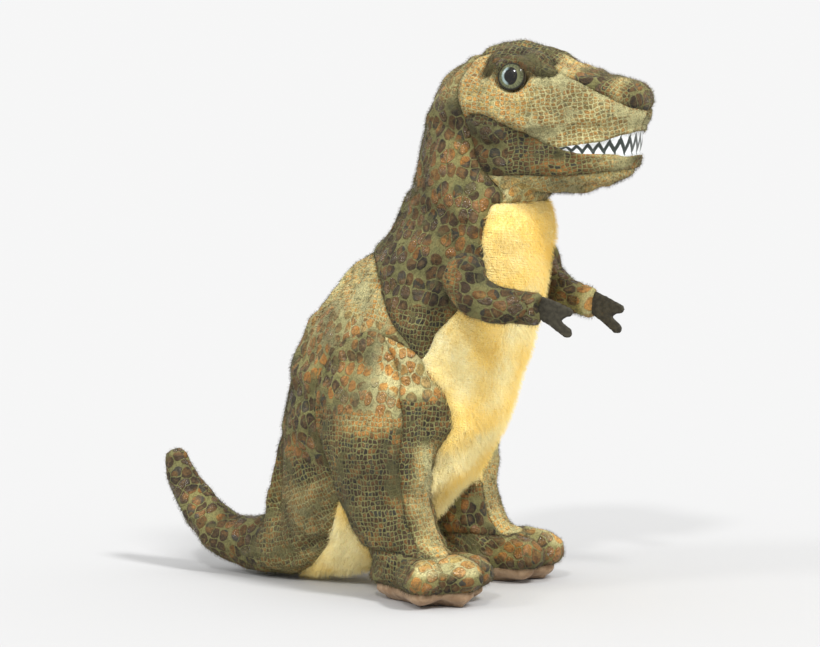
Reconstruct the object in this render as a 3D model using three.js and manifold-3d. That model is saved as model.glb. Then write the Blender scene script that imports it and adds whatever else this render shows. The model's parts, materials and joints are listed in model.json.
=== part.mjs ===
// A stuffed tyrannosaur, 300 mm tall, standing on two feet and its tail.
// Millimetres, +Z up, +X the way it faces, +Y its left side. The ground is Z = 0.
// The skin is a hollow shell of plush panels over stuffing. Each panel is cut from the
// shell along its seams, which are drawn in side view (X, Z) and go straight through in Y.
import * as THREE from "three";
import { mergeVertices } from "three/addons/utils/BufferGeometryUtils.js";
import Module from "manifold-3d";

const wasm = await Module();
wasm.setup();

// ---- driving dimensions ----
const PLUSH = 2; // thickness of a plush panel, backing and pile
const STRIP_INSET = 0.5; // how far the mouth strip lies below the lips
const GAP = 0.4; // between two sewn panels, and between a panel and its stuffing
const SOLE = 7; // height up to which the sole fabric wraps the foot
const BEAN_BAG_TOP = 25; // where the foot's bean bag meets the leg's stuffing
const LEG_Y = 40; // centre of a leg from the middle plane
const LEG_INNER_Y = 33; // seam between a leg's outer and inner panels
const FOOT_INNER_Y = 16; // how near to the middle plane the feet and inner legs reach
const TOE_OUT = 20; // degrees that a foot points outwards
const ANKLE = { x: 23, y: LEG_Y };
const SHOULDER = { x: 60, y: 48.4, z: 178 }; // the arm turns about the line through this, along Y
const WRIST_X = SHOULDER.x + 38; // where the arm's cloth ends
const LEFT_ARM_DROP = 5; // degrees that the left arm hangs below the right one
const NECK_JOINT = { x: 44, z: 214, gap: 9 }; // level slit where the neck bends
const TAIL_JOINT = { x: -80, z: 19, slope: 12, gap: 4.4 }; // slit across the tail's root
const EYE = { x: 78.5, y: 31.6, z: 282.5, r: 7.5, yaw: 12, roll: 12 }; // turned forwards and up
const MIDDLE_X = -3.4; // the middle of the length, as the lofts are drawn
const FAR = 400; // reach of a cutter, past the whole toy

const right = -1;
const left = 1;
const radians = THREE.MathUtils.degToRad;

// ---- geometry to solid and back ----
function solidOf(geometry) {
  const bare = geometry.clone();
  for (const name of ["normal", "uv"]) bare.deleteAttribute(name);
  const merged = mergeVertices(bare, 1e-3);
  const triVerts = new Uint32Array(merged.index.array);
  const vertProperties = merged.attributes.position.array;
  return new wasm.Manifold(new wasm.Mesh({ numProp: 3, vertProperties, triVerts }));
}

function geometryOf(solid) {
  const mesh = solid.getMesh();
  const points = new Float32Array(mesh.numVert * 3);
  for (let i = 0; i < mesh.numVert; i++) {
    const from = i * mesh.numProp;
    points.set(mesh.vertProperties.subarray(from, from + 3), i * 3);
  }
  const geometry = new THREE.BufferGeometry();
  geometry.setAttribute("position", new THREE.BufferAttribute(points, 3));
  geometry.setIndex(new THREE.BufferAttribute(mesh.triVerts, 1));
  geometry.computeVertexNormals();
  return geometry;
}

const union = (solids) => solids.reduce((a, b) => a.add(b));

// Seam cuts can leave a crumb beside the piece, which isn't part of it.
const largest = (solid) =>
  solid.decompose().sort((a, b) => b.volume() - a.volume())[0];

// ---- lofts ----
// A closed loft through stations {at: [x, y, z], deep, wide, round}. deep and wide are half
// sizes, and round is the superellipse power: 2 is an ellipse and more is squarer. rings says
// which way the rings lie: "level" (deep is X), "upright" (deep is Z) or "across" the spine.
function loft(stations, { rings, around, along, caps, inset = 0, capRings = 2 }) {
  const centres = new THREE.CatmullRomCurve3(
    stations.map((s) => new THREE.Vector3(...s.at)),
    false,
    "centripetal",
  );
  const sizes = new THREE.CatmullRomCurve3(
    stations.map((s) => new THREE.Vector3(s.deep, s.wide, (s.round ?? 2) * 10)),
  );
  const Y = new THREE.Vector3(0, 1, 0);
  const ringAxes = (t) => {
    const tangent = centres.getTangent(t);
    if (rings === "level") return [new THREE.Vector3(1, 0, 0), Y.clone()];
    if (rings === "upright") return [new THREE.Vector3(0, 0, 1), Y.clone()];
    const side = Y.clone().addScaledVector(tangent, -Y.dot(tangent)).normalize();
    return [side.clone().cross(tangent).normalize(), side];
  };
  const points = [];
  const addRing = (centre, [u, v], deep, wide, power) => {
    for (let k = 0; k < around; k++) {
      const angle = (2 * Math.PI * k) / around;
      const [c, s] = [Math.cos(angle), Math.sin(angle)];
      const a = Math.sign(c) * Math.abs(c) ** (2 / power) * Math.max(deep - inset, 0.5);
      const b = Math.sign(s) * Math.abs(s) ** (2 / power) * Math.max(wide - inset, 0.5);
      const p = centre.clone().addScaledVector(u, a).addScaledVector(v, b);
      points.push(p.x, p.y, p.z);
    }
  };
  const poles = [];
  const addCap = (t, length, outwards, order) => {
    const centre = centres.getPoint(t);
    const size = sizes.getPoint(t);
    const axis = centres.getTangent(t).multiplyScalar(outwards);
    const reach = Math.max(length - inset, 1);
    for (const step of order) {
      const tilt = (Math.PI / 2) * (step / (capRings + 1));
      const at = centre.clone().addScaledVector(axis, reach * Math.sin(tilt));
      const shrink = Math.cos(tilt);
      const deep = (size.x - inset) * shrink + inset;
      const wide = (size.y - inset) * shrink + inset;
      addRing(at, ringAxes(t), deep, wide, size.z / 10);
    }
    poles.push(centre.clone().addScaledVector(axis, reach));
  };
  const outward = Array.from({ length: capRings }, (_, i) => i + 1);
  addCap(0, caps[0], -1, [...outward].reverse());
  for (let i = 0; i <= along; i++) {
    const size = sizes.getPoint(i / along);
    addRing(centres.getPoint(i / along), ringAxes(i / along), size.x, size.y, size.z / 10);
  }
  addCap(1, caps[1], 1, outward);
  const ringCount = along + 1 + 2 * capRings;
  const index = [];
  const first = ringCount * around;
  for (const p of poles) points.push(p.x, p.y, p.z);
  for (let k = 0; k < around; k++) {
    const next = (k + 1) % around;
    index.push(first, next, k);
    const lastRing = (ringCount - 1) * around;
    index.push(first + 1, lastRing + k, lastRing + next);
    for (let r = 0; r < ringCount - 1; r++) {
      const [a, b] = [r * around + k, r * around + next];
      index.push(a, b, b + around, a, b + around, a + around);
    }
  }
  const geometry = new THREE.BufferGeometry();
  geometry.setAttribute("position", new THREE.Float32BufferAttribute(points, 3));
  geometry.setIndex(index);
  const solid = solidOf(geometry);
  if (solid.volume() > 0) return solid;
  for (let i = 0; i < index.length; i += 3) {
    [index[i + 1], index[i + 2]] = [index[i + 2], index[i + 1]];
  }
  geometry.setIndex(index);
  return solidOf(geometry);
}

// ---- cutters ----
// A side-view outline [[x, z], ...], straight through in Y from yLow to yHigh.
function sideCutter(outline, yLow = -FAR, yHigh = FAR) {
  const shape = new THREE.Shape(outline.map(([x, z]) => new THREE.Vector2(x, z)));
  const geometry = new THREE.ExtrudeGeometry(shape, {
    depth: yHigh - yLow,
    bevelEnabled: false,
  });
  geometry.rotateX(Math.PI / 2); // the shape's y is now Z, and its depth runs along -Y
  geometry.translate(0, yHigh, 0);
  return solidOf(geometry);
}

function block(low, high) {
  const size = high.map((h, i) => h - low[i]);
  const geometry = new THREE.BoxGeometry(...size);
  geometry.translate(...low.map((l, i) => l + size[i] / 2));
  return solidOf(geometry);
}

// A smooth side-view seam through a few points, as a list of points.
const seamLine = (points, steps = 7) =>
  new THREE.SplineCurve(points.map(([x, z]) => new THREE.Vector2(x, z)))
    .getPoints(steps)
    .map((p) => [p.x, p.y]);

// The wall of one GAP each side of an outline's edges.
function seamWall(outline, yLow, yHigh) {
  const edges = outline.map(([x, z], i) => {
    const [nx, nz] = outline[(i + 1) % outline.length];
    const length = Math.hypot(nx - x, nz - z);
    const [ux, uz] = [((nx - x) / length) * GAP, ((nz - z) / length) * GAP];
    const corners = [
      [x - ux - uz, z - uz + ux],
      [nx + ux - uz, nz + uz + ux],
      [nx + ux + uz, nz + uz - ux],
      [x - ux + uz, z - uz - ux],
    ];
    return sideCutter(corners, yLow, yHigh);
  });
  return union(edges);
}

// Takes the panel inside an outline out of what is left of a shell.
function takePanel(shell, outline, yLow = -FAR, yHigh = FAR) {
  const region = sideCutter(outline, yLow, yHigh);
  const grown = region.add(seamWall(outline, yLow - GAP, yHigh + GAP));
  const capped = yLow > -FAR || yHigh < FAR
    ? grown.add(sideCutter(outline, yLow - GAP, yHigh + GAP))
    : grown;
  return [shell.intersect(region), shell.subtract(capped)];
}

const halfSpace = (side) =>
  side === right
    ? block([-FAR, -FAR, -FAR], [FAR, -GAP / 2, FAR])
    : block([-FAR, GAP / 2, -FAR], [FAR, FAR, FAR]);

// ---- the shape ----
// Each maker takes an inset, so that the same form gives the skin's outside, its inside and
// the stuffing.
const torsoLoft = (inset) =>
  loft(
    [
      { at: [44, 0, 259], deep: 28, wide: 26 },
      { at: [46, 0, 243], deep: 34, wide: 31 },
      { at: [46, 0, 220], deep: 38, wide: 35 },
      { at: [43, 0, 204], deep: 42, wide: 38 },
      { at: [32, 0, 180], deep: 52, wide: 43 },
      { at: [18, 0, 158], deep: 62, wide: 48 },
      { at: [7, 0, 135], deep: 65.5, wide: 52 },
      { at: [0, 0, 111], deep: 65, wide: 54 },
      { at: [-5, 0, 88], deep: 61.5, wide: 53 },
      { at: [-14, 0, 64], deep: 55, wide: 47 },
      { at: [-24, 0, 44], deep: 46.5, wide: 39 },
    ],
    { rings: "level", around: 20, along: 9, caps: [12, 30], inset },
  );

const tailLoft = (inset) =>
  loft(
    [
      { at: [-18, 0, 42], deep: 34, wide: 34 },
      { at: [-46, 0, 28], deep: 26.5, wide: 29 },
      { at: [-76, 0, 18.5], deep: 18.2, wide: 21 },
      { at: [-102, 0, 17.8], deep: 15.3, wide: 16.5 },
      { at: [-122, 0, 27.8], deep: 12.7, wide: 13 },
      { at: [-137, 0, 46.5], deep: 9.7, wide: 10 },
      { at: [-145, 0, 63.5], deep: 7, wide: 7.5 },
    ],
    { rings: "across", around: 12, along: 7, caps: [12, 6], inset },
  );

const skullLoft = (inset) =>
  loft(
    [
      { at: [34, 0, 262], deep: 24, wide: 25 },
      { at: [47, 0, 263], deep: 32, wide: 32 },
      { at: [63, 0, 266], deep: 34, wide: 35, round: 2.3 },
      { at: [78, 0, 268], deep: 30.5, wide: 34, round: 2.5 },
      { at: [91, 0, 269], deep: 25.5, wide: 30.5, round: 2.6 },
      { at: [106, 0, 267.5], deep: 20.5, wide: 26.5, round: 2.6 },
      { at: [121, 0, 266.5], deep: 17, wide: 22.5, round: 2.5 },
      { at: [134, 0, 267], deep: 14, wide: 18, round: 2.4 },
    ],
    { rings: "upright", around: 16, along: 6, caps: [12, 11], inset },
  );

const jawLoft = (inset) =>
  loft(
    [
      { at: [52, 0, 240], deep: 20, wide: 31 },
      { at: [67, 0, 238.5], deep: 20, wide: 33.5, round: 2.2 },
      { at: [82, 0, 236], deep: 17, wide: 31, round: 2.3 },
      { at: [97, 0, 234], deep: 14, wide: 26.5, round: 2.3 },
      { at: [112, 0, 234], deep: 11, wide: 22.5, round: 2.3 },
      { at: [127, 0, 235.5], deep: 9.5, wide: 19, round: 2.3 },
    ],
    { rings: "upright", around: 12, along: 3, caps: [10, 11], inset },
  );

// The mouth between the lips: what the printed teeth wrap round.
const mouthLoft = (inset) =>
  loft(
    [
      { at: [90, 0, 246], deep: 13, wide: 28.5 },
      { at: [104, 0, 246], deep: 13, wide: 25, round: 2.4 },
      { at: [120, 0, 247], deep: 13, wide: 21.5, round: 2.5 },
      { at: [131, 0, 248], deep: 13, wide: 17.5, round: 2.6 },
    ],
    { rings: "upright", around: 10, along: 2, caps: [8, 9], inset },
  );

const legLoft = (side, inset) =>
  loft(
    [
      { at: [-1, side * 36, 132], deep: 26, wide: 14 },
      { at: [1, side * 40, 110], deep: 33, wide: 22 },
      { at: [5, side * 42, 79], deep: 31, wide: 25 },
      { at: [9, side * 41, 54], deep: 26, wide: 23.5 },
      { at: [15, side * LEG_Y, 37], deep: 24, wide: 22.5 },
      { at: [ANKLE.x, side * ANKLE.y, 24], deep: 24, wide: 21 },
    ],
    { rings: "level", around: 12, along: 5, caps: [12, 8], inset },
  );

// A point of a foot: forwards and outwards from the ankle, turned out with the foot.
function onFoot(side, forwards, outwards, z) {
  const turn = radians(TOE_OUT);
  return [
    ANKLE.x + forwards * Math.cos(turn) - outwards * Math.sin(turn),
    side * (ANKLE.y + forwards * Math.sin(turn) + outwards * Math.cos(turn)),
    z,
  ];
}

function footLoft(side, inset) {
  const toe = (fan, reach, radius) => {
    const [c, s] = [Math.cos(radians(fan)), Math.sin(radians(fan))];
    const along = (d, z) => onFoot(side, d * c, d * s, z);
    return loft(
      [
        { at: along(8, 14.4), deep: radius * 1.15, wide: radius },
        { at: along(reach * 0.7, 14.2), deep: radius * 1.25, wide: radius },
        { at: along(reach, 12.8), deep: radius * 1.1, wide: radius * 0.95 },
      ],
      { rings: "across", around: 8, along: 2, caps: [6, radius * 0.8], inset, capRings: 1 },
    );
  };
  const instep = loft(
    [
      { at: onFoot(side, -13, 0, 12), deep: 14, wide: 17 },
      { at: onFoot(side, 2, 0, 16), deep: 18, wide: 21 },
      { at: onFoot(side, 20, 0, 14), deep: 16, wide: 21 },
    ],
    { rings: "across", around: 10, along: 2, caps: [9, 14], inset },
  );
  const toes = [toe(-32, 37, 11), toe(0, 41, 12), toe(34, 38, 11.5)];
  return union([instep, ...toes]);
}

const armLoft = (side, inset) =>
  loft(
    [
      { at: [SHOULDER.x - 1, side * SHOULDER.y, SHOULDER.z + 2], deep: 12, wide: 9.5 },
      { at: [SHOULDER.x, side * (SHOULDER.y + 0.5), SHOULDER.z - 7], deep: 13, wide: 10 },
      { at: [SHOULDER.x + 10, side * SHOULDER.y, SHOULDER.z - 14], deep: 11.5, wide: 10 },
      { at: [SHOULDER.x + 24, side * (SHOULDER.y - 5), SHOULDER.z - 17], deep: 9.3, wide: 9 },
      { at: [SHOULDER.x + 37, side * (SHOULDER.y - 11), SHOULDER.z - 18], deep: 8.4, wide: 8 },
    ],
    { rings: "across", around: 10, along: 5, caps: [9, 2], inset },
  );

// ---- seams, in side view ----
const FRONT = 170;
const TOP = 330;

const bellySeam = seamLine([
  [68, 224], [66, 215], [62.5, 200], [64, 186], [59, 168], [47, 152], [34, 137], [33, 118],
  [37, 104], [38, 85], [35, 65], [22, 46], [4, 38],
], 11);
const bellyOutline = [...bellySeam, [4, -20], [FRONT, -20], [FRONT, 224]];
const rumpSeam = seamLine([[0, 60], [-18, 54], [-33, 24], [-50, 8], [-66, 0.5]]);
const rumpOutline = [...rumpSeam, [-66, -20], [12, -20], [12, 66]];
const chestSeam = seamLine([[-30, 190], [-12, 185], [-2, 180], [6, 166], [11, 156], [20, 144], [34, 131]]);
const chestOutline = [...chestSeam, [FRONT, 131], [FRONT, TOP], [-30, TOP]];
const headSeam = seamLine([
  [50, 300], [47, 290], [43, 280], [44, 270], [49.5, 259.5], [54, 246], [60, 232], [71, 221.5],
]);
const headOutline = [...headSeam, [71, 205], [FRONT, 205], [FRONT, TOP], [50, TOP]];
const cheekSeam = seamLine([
  [40, 254], [47, 258.5], [54, 262], [63, 261.5], [73, 256.5], [84, 251], [94.5, 246.5], [103, 244.5],
]);
const cheekOutline = [...cheekSeam, [FRONT, 244], [FRONT, 200], [40, 200]];
const upperLip = seamLine([[101, 244.6], [112, 246.2], [126, 248.3], [137, 252.5], [150, 257]], 6);
const lowerLip = seamLine([[150, 240.5], [137, 240.5], [121, 240.9], [108, 242.8]], 5);
const mouthOutline = [...upperLip, ...lowerLip];
const chinSeam = seamLine([[60, 229], [77, 228], [105, 228.5], [139, 232], [FRONT, 236]], 6);
const chinOutline = [...chinSeam, [FRONT, 200], [60, 200]];
const crownSeam = seamLine([
  [40, 291], [60, 296], [82, 295], [94, 290], [110, 281.5], [125, 274], [140, 266], [FRONT, 258],
]);
const crownOutline = [...crownSeam, [FRONT, TOP], [40, TOP]];
const browOutline = seamLine([
  [62, 281], [60, 289], [64, 299], [76, 304], [90, 301], [97, 293], [92, 286.5], [79.5, 292], [69, 288.5],
], 11);
const legSeam = seamLine([
  [6, 146], [-16, 138], [-32, 114], [-30, 86], [-20, 62], [-14, 44], [-6, 27],
]);
const legOutline = [...legSeam, [50, 27], [46, 60], [46, 90], [43, 112], [30, 134]];
const stripSeam = seamLine([
  [5, 150], [11, 143], [20, 125], [26, 100], [26, 78], [27, 50], [36, 27],
], 8);
const stripOutline = [...stripSeam, [36, 20], [70, 20], [70, 150]];
// ---- materials, the plain colours of the fabrics ----
function cloth(color, roughness = 0.9) {
  return new THREE.MeshStandardMaterial({ color, roughness, metalness: 0 });
}
const material = {
  scale: cloth(0x6b5a3a, 0.75),
  scaleDark: cloth(0x4a3d28, 0.7),
  scaleLight: cloth(0x8d8a62, 0.85),
  belly: cloth(0xe8c677),
  sole: cloth(0x7d6350),
  claw: cloth(0x45423c),
  teeth: cloth(0xf2f4f4, 0.5),
  stuffing: cloth(0xf0efe9),
  beanBag: cloth(0xd9d3c6),
  iris: new THREE.MeshStandardMaterial({ color: 0x7f8a5c, roughness: 0.35 }),
  lens: new THREE.MeshStandardMaterial({ color: 0x2c3a33, roughness: 0.05 }),
  washer: new THREE.MeshStandardMaterial({ color: 0xe6e6e2, roughness: 0.5 }),
};

const toy = new THREE.Group();
toy.position.x = -MIDDLE_X;
function place(name, solid, look) {
  const mesh = new THREE.Mesh(geometryOf(largest(solid)), look);
  mesh.name = name;
  toy.add(mesh);
}
const sideName = (name, side) => `${name}_${side === right ? "right" : "left"}`;

// ---- the joints' slits ----
const neckSlit = block(
  [-FAR, -FAR, NECK_JOINT.z - NECK_JOINT.gap / 2],
  [FAR, FAR, NECK_JOINT.z + NECK_JOINT.gap / 2],
);
const aboveNeck = block([-FAR, -FAR, NECK_JOINT.z], [FAR, FAR, FAR]);
function tailSide(offset) {
  const slope = radians(TAIL_JOINT.slope);
  const along = [Math.cos(slope), -Math.sin(slope)];
  const up = [Math.sin(slope), Math.cos(slope)];
  const corner = (a, u) => [
    TAIL_JOINT.x + along[0] * a + up[0] * u,
    TAIL_JOINT.z + along[1] * a + up[1] * u,
  ];
  const HALF_CUT = 26; // just past the tail, short of the back
  const BEHIND = 100;
  return sideCutter([
    corner(offset, -HALF_CUT),
    corner(offset, HALF_CUT),
    corner(-BEHIND, BEHIND),
    corner(-BEHIND, -HALF_CUT),
  ]);
}
const behindTailJoint = tailSide(-TAIL_JOINT.gap / 2);
const tailSlit = tailSide(TAIL_JOINT.gap / 2).subtract(behindTailJoint);

// ---- body, legs, feet and tail: one hollow skin ----
const sides = [right, left];
const ground = block([-FAR, -FAR, 0], [FAR, FAR, FAR]);
const trunk = (inset) => union([torsoLoft(inset), tailLoft(inset)]);
const limbs = (inset) =>
  union(sides.flatMap((side) => [legLoft(side, inset), footLoft(side, inset)]));
const headForm = (inset) =>
  union([skullLoft(inset), jawLoft(inset), mouthLoft(inset), torsoLoft(inset)]).intersect(aboveNeck);
const bodyOutside = union([trunk(0), limbs(0)]).intersect(ground);
const bodyInside = union([trunk(PLUSH), limbs(PLUSH)]);
const aboveSole = block([-FAR, -FAR, SOLE + GAP], [FAR, FAR, FAR]);

function makeBody() {
  let skin = bodyOutside.subtract(bodyInside).subtract(neckSlit).subtract(aboveNeck);
  const tail = skin.intersect(behindTailJoint);
  skin = skin.subtract(behindTailJoint).subtract(tailSlit);
  for (const side of sides) {
    const half = halfSpace(side);
    place(sideName("tail_panel", side), tail.intersect(half), material.scale);
  }
  for (const side of sides) {
    const [low, high] = side === right ? [-FAR, -FOOT_INNER_Y] : [FOOT_INNER_Y, FAR];
    const footOutline = [[-12, -5], [-12, 26], [52, 27], [100, 44], [100, -5]];
    let foot;
    [foot, skin] = takePanel(skin, footOutline, low, high);
    place(sideName("foot_top", side), foot.intersect(aboveSole), material.scaleLight);
    const [inner, outer] = side === right ? [-LEG_INNER_Y, -FAR] : [LEG_INNER_Y, FAR];
    const yRange = [Math.min(inner, outer), Math.max(inner, outer)];
    let leg;
    [leg, skin] = takePanel(skin, legOutline, ...yRange);
    const [strip, rest] = takePanel(leg, stripOutline);
    place(sideName("leg_outer_panel", side), rest, material.scale);
    place(sideName("leg_front_strip", side), strip, material.scaleLight);
    const innerRange = side === right
      ? [-LEG_INNER_Y - GAP, -FOOT_INNER_Y]
      : [FOOT_INNER_Y, LEG_INNER_Y + GAP];
    const innerLeg = [[-24, 26], [-22, 52], [2, 54], [20, 64], [42, 66], [54, 26]];
    let inside;
    [inside, skin] = takePanel(skin, innerLeg, ...innerRange);
    place(sideName("leg_inner_panel", side), inside, material.scaleLight);
  }
  let belly, rump, chest;
  [belly, skin] = takePanel(skin, bellyOutline);
  place("belly_panel", belly, material.belly);
  [rump, skin] = takePanel(skin, rumpOutline);
  place("rump_panel", rump, material.belly);
  [chest, skin] = takePanel(skin, chestOutline);
  for (const side of sides) {
    const half = halfSpace(side);
    place(sideName("chest_panel", side), chest.intersect(half), material.scaleDark);
    place(sideName("back_panel", side), skin.intersect(half), material.scale);
  }
}

function makeStuffing() {
  const inset = PLUSH + GAP;
  const trunkFill = trunk(inset).intersect(ground).subtract(neckSlit);
  const belowNeck = trunkFill.subtract(aboveNeck);
  const torsoFill = belowNeck.subtract(behindTailJoint).subtract(tailSlit);
  place("torso_stuffing", torsoFill, material.stuffing);
  place("tail_stuffing", belowNeck.intersect(behindTailJoint), material.stuffing);
  const clearTrunk = trunk(PLUSH);
  for (const side of sides) {
    const aboveBag = block([-FAR, -FAR, BEAN_BAG_TOP], [FAR, FAR, FAR]);
    const leg = legLoft(side, inset).subtract(clearTrunk);
    place(sideName("leg_stuffing", side), leg.intersect(aboveBag), material.stuffing);
    const below = block([-FAR, -FAR, SOLE + GAP], [FAR, FAR, BEAN_BAG_TOP - GAP]);
    const foot = union([footLoft(side, inset), legLoft(side, inset)]).intersect(below);
    place(sideName("foot_bean_bag", side), foot.subtract(clearTrunk), material.beanBag);
    const bottom = block([-FAR, -FAR, 0], [FAR, FAR, SOLE]);
    const sole = footLoft(side, 0).intersect(bottom).subtract(trunk(-GAP));
    place(sideName("foot_sole", side), sole, material.sole);
  }
}

// ---- head ----
// Turns a profile [[distance from the axis, height], ...] round the axis that an eye looks along.
function eyePiece(profile, side) {
  const geometry = new THREE.LatheGeometry(
    profile.map(([r, h]) => new THREE.Vector2(r, h)),
    14,
  );
  if (side === right) geometry.rotateX(Math.PI);
  geometry.rotateX(radians(side * EYE.roll));
  geometry.rotateZ(radians(-side * EYE.yaw));
  geometry.translate(EYE.x, side * EYE.y, EYE.z);
  return solidOf(geometry);
}

function makeHead() {
  const wholeSkin = headForm(0).subtract(headForm(PLUSH)).subtract(neckSlit);
  let [skin, neck] = takePanel(wholeSkin, headOutline);
  let crown, cheeks, chin, lips;
  [lips, skin] = takePanel(skin, mouthOutline);
  place("teeth_strip", lips.intersect(headForm(STRIP_INSET)), material.teeth);
  for (const side of sides) {
    const yRange = side === right ? [-FAR, -9] : [9, FAR];
    let brow;
    [brow, skin] = takePanel(skin, browOutline, ...yRange);
    place(sideName("brow_patch", side), brow.subtract(eyeRoom(side)), material.scaleDark);
  }
  [crown, skin] = takePanel(skin, crownOutline);
  place("crown_panel", crown, material.scaleLight);
  [cheeks, skin] = takePanel(skin, cheekOutline);
  [chin, cheeks] = takePanel(cheeks, chinOutline);
  place("chin_panel", chin, material.scale);
  for (const side of sides) {
    const half = halfSpace(side);
    place(sideName("neck_panel", side), neck.intersect(half), material.scaleDark);
    place(sideName("cheek_panel", side), cheeks.intersect(half), material.scaleDark);
    const face = skin.intersect(half).subtract(eyeRoom(side));
    place(sideName("face_panel", side), face, material.scaleLight);
  }
  let fill = headForm(PLUSH + GAP).subtract(neckSlit);
  for (const side of sides) fill = fill.subtract(eyeRoom(side));
  place("head_stuffing", fill, material.stuffing);
  for (const side of sides) makeEye(side);
}

const domeProfile = (radius, height, base) => {
  const steps = 4;
  const dome = Array.from({ length: steps + 1 }, (_, i) => {
    const angle = ((Math.PI / 2) * i) / steps;
    return [radius * Math.cos(angle), base + height * Math.sin(angle)];
  });
  dome[steps][0] = 0;
  return [[0, base], ...dome];
};

function eyeRoom(side) {
  return eyePiece([[0, -9.5], [7, -9.5], [7, -5], [EYE.r + 0.6, -4.6], [EYE.r + 0.6, 9], [0, 9]], side);
}

// A safety eye: a clear dome over a painted iris disc with a post, locked by a washer inside.
function makeEye(side) {
  place(sideName("eye_lens", side), eyePiece(domeProfile(EYE.r, 5, 0), side), material.lens);
  const disc = [[0, -9], [1.6, -9], [1.6, -2.2], [EYE.r, -2.2], [EYE.r, -0.3], [0, -0.3]];
  place(sideName("eye_iris_disc", side), eyePiece(disc, side), material.iris);
  const washer = [[2, -6.4], [6.4, -6.4], [6.4, -5.2], [2, -5.2], [2, -6.4]];
  place(sideName("eye_washer", side), eyePiece(washer, side), material.washer);
}

// ---- arms ----
function makeArm(side) {
  const drop = side === left ? LEFT_ARM_DROP : 0;
  const pose = (solid) => {
    const geometry = geometryOf(solid);
    geometry.translate(-SHOULDER.x, 0, -SHOULDER.z);
    geometry.rotateY(radians(drop));
    geometry.translate(SHOULDER.x, 0, SHOULDER.z);
    return solidOf(geometry);
  };
  const outside = armLoft(side, 0);
  const beforeWrist = block([-FAR, -FAR, -FAR], [WRIST_X, FAR, FAR]);
  const shell = outside.subtract(armLoft(side, PLUSH)).intersect(beforeWrist);
  const split = SHOULDER.y - 1;
  const outerSide = side === right
    ? block([-FAR, -FAR, -FAR], [FAR, -split - GAP / 2, FAR])
    : block([-FAR, split + GAP / 2, -FAR], [FAR, FAR, FAR]);
  const innerSide = side === right
    ? block([-FAR, -split + GAP / 2, -FAR], [FAR, FAR, FAR])
    : block([-FAR, -FAR, -FAR], [FAR, split - GAP / 2, FAR]);
  place(sideName("arm_outer_panel", side), pose(shell.intersect(outerSide)), material.scaleDark);
  place(sideName("arm_inner_panel", side), pose(shell.intersect(innerSide)), material.scale);
  const fillEnd = block([-FAR, -FAR, -FAR], [WRIST_X - 3, FAR, FAR]);
  const fill = armLoft(side, PLUSH + GAP).intersect(fillEnd);
  place(sideName("arm_stuffing", side), pose(fill), material.stuffing);
  place(sideName("hand_claws", side), pose(clawSolid(side)), material.claw);
}

// A felt hand with two blunt claws, cut from flat felt and bent down a little.
function clawSolid(side) {
  const FELT = 2.4;
  const outline = new THREE.Shape();
  outline.moveTo(-3, -6);
  outline.lineTo(6, -7);
  outline.lineTo(17, -9.5);
  outline.absarc(17, -6.7, 2.8, -Math.PI / 2, Math.PI / 2);
  outline.lineTo(11, -2.2);
  outline.lineTo(14, 1.2);
  outline.absarc(14, 3.7, 2.5, -Math.PI / 2, Math.PI / 2);
  outline.lineTo(5, 6.2);
  outline.lineTo(-3, 6);
  const geometry = new THREE.ExtrudeGeometry(outline, {
    depth: FELT,
    bevelEnabled: false,
    curveSegments: 4,
  });
  geometry.translate(0, 0, -FELT / 2);
  geometry.rotateX(Math.PI / 2); // the felt stands upright, seen flat from the side
  geometry.rotateY(radians(20));
  geometry.translate(SHOULDER.x + 39.5, side * (SHOULDER.y - 11.5), SHOULDER.z - 18);
  const pastStuffing = block([WRIST_X - 3 + GAP, -FAR, -FAR], [FAR, FAR, FAR]);
  const pastSleeve = block([WRIST_X + GAP, -FAR, -FAR], [FAR, FAR, FAR]);
  const room = pastSleeve.add(armLoft(side, PLUSH + GAP)).intersect(pastStuffing);
  return solidOf(geometry).intersect(room);
}

makeBody();
makeStuffing();
makeHead();
sides.forEach(makeArm);

export default toy;
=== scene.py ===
"""A stuffed tyrannosaur in printed scale plush, on a pale studio floor.

The skin is grown from the frame's solids: they are joined, remeshed and smoothed, puffed by a
cloth simulation that is held at the seams, and cut along the seams into one piece per panel.
"""
import json
import math

import bmesh
import bpy
import numpy as np
from mathutils import Matrix, Vector
from mathutils.bvhtree import BVHTree
from mathutils.kdtree import KDTree


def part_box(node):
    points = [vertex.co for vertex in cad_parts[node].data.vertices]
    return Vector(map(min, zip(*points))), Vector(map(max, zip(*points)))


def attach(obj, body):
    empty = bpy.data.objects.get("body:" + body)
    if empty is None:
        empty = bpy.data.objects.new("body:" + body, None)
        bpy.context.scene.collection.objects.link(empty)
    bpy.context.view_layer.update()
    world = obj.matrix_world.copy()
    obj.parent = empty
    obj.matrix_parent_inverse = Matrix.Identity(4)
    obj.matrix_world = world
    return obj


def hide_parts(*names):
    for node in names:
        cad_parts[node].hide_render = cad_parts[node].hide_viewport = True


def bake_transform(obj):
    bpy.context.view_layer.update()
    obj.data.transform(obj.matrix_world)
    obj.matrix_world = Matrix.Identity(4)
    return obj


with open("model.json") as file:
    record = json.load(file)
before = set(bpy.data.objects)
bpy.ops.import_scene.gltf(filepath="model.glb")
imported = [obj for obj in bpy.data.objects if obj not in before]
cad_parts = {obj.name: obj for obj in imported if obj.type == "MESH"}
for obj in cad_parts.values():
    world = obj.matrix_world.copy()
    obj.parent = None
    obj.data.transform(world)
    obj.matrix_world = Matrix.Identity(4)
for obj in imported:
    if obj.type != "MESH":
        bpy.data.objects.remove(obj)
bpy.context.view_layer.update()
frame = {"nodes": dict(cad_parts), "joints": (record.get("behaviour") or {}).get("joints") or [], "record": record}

MM = 0.001
NODES = frame["nodes"]
BODIES = frame["record"]["behaviour"]["bodies"]
JOINTS = {joint["name"]: np.array(joint["pos_m"]) for joint in frame["joints"]}
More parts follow.
